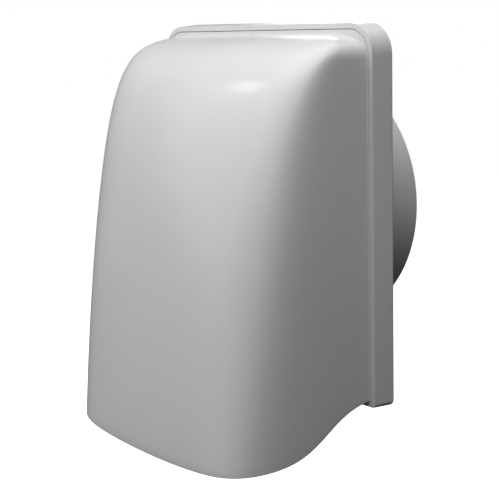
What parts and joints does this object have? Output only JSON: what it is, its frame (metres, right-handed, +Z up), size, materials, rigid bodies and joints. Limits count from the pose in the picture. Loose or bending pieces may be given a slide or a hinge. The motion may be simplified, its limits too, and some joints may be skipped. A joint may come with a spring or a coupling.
{
  "type": "cowled wall vent terminal",
  "caption": "Wall-mounted vent outlet: a smooth cowl open at the bottom on a shallow frame, with a round duct spigot behind and a hinged gravity flap and bird guard inside.",
  "frame": {"origin": "centre of the frame's rear face, on the wall plane", "axes": "+Z up, -Y straight out of the wall, +Y into the duct, +X to the right as seen from in front"},
  "size_m": [0.187, 0.1418, 0.2376],
  "materials": {
    "shell_plastic": "satin light grey moulding",
    "inner_plastic": "satin",
    "bush_nylon": "smooth nylon",
    "seal_rubber": "matt",
    "gasket_foam": "closed-cell foam",
    "stainless_steel": "brushed"
  },
  "bodies": {
    "base": {"wall_frame": "shell_plastic", "wall_gasket": "gasket_foam", "duct_spigot": "shell_plastic", "flap_seal": "seal_rubber", "bush_left": "bush_nylon", "bush_right": "bush_nylon", "bumper_left": "seal_rubber", "bumper_right": "seal_rubber", "spigot_screw_1": "stainless_steel", "spigot_screw_2": "stainless_steel", "spigot_screw_3": "stainless_steel", "spigot_screw_4": "stainless_steel"},
    "flap": {"damper_flap": "inner_plastic", "hinge_rod": "stainless_steel", "rod_clip_left": "stainless_steel", "rod_clip_right": "stainless_steel"},
    "cowl": {"hood": "shell_plastic", "bird_guard": "inner_plastic", "guard_screw_left": "stainless_steel", "guard_screw_right": "stainless_steel"}
  },
  "joints": [
    {"name": "flap_hinge", "type": "hinge", "parent": "base", "child": "flap", "pos_m": [0, -0.01568, 0.08262], "axis": [-1, 0, 0], "range_deg": [0, 24]},
    {"name": "cowl_slide", "type": "slide", "parent": "base", "child": "cowl", "axis": [0, -1, 0], "range_m": [0, 0.08]}
  ]
}
